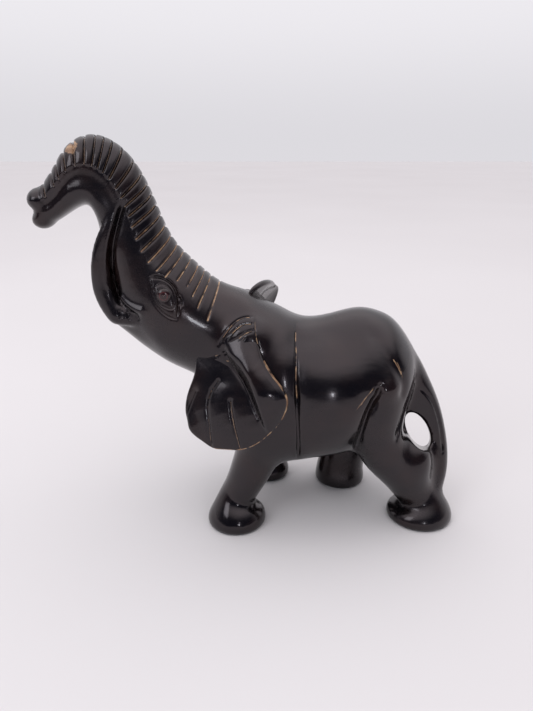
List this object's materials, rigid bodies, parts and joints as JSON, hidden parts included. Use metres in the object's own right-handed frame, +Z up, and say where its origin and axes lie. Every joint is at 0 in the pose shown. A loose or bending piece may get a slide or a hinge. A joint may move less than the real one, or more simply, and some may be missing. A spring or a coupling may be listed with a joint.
{
  "type": "carved elephant figurine",
  "caption": "Free-standing carved wooden elephant, black stained and polished, walking with its trunk raised and ribbed, ears let in apart.",
  "frame": {"origin": "on the ground, under the middle of the carving's box", "axes": "+Z up; the elephant walks towards -X, and its left side faces -Y"},
  "size_m": [0.2749, 0.1136, 0.247],
  "materials": {
    "black_wood": "black stain under polished lacquer",
    "plain_wood": "bare",
    "eye_resin": "polished",
    "pupil": "polished"
  },
  "bodies": {
    "root": {"carved_block": "black_wood", "left_ear": "black_wood", "right_ear": "black_wood", "left_ear_dowel": "plain_wood", "right_ear_dowel": "plain_wood", "left_eye_bead": "eye_resin", "right_eye_bead": "eye_resin", "left_pupil_pin": "pupil", "right_pupil_pin": "pupil"}
  },
  "joints": []
}
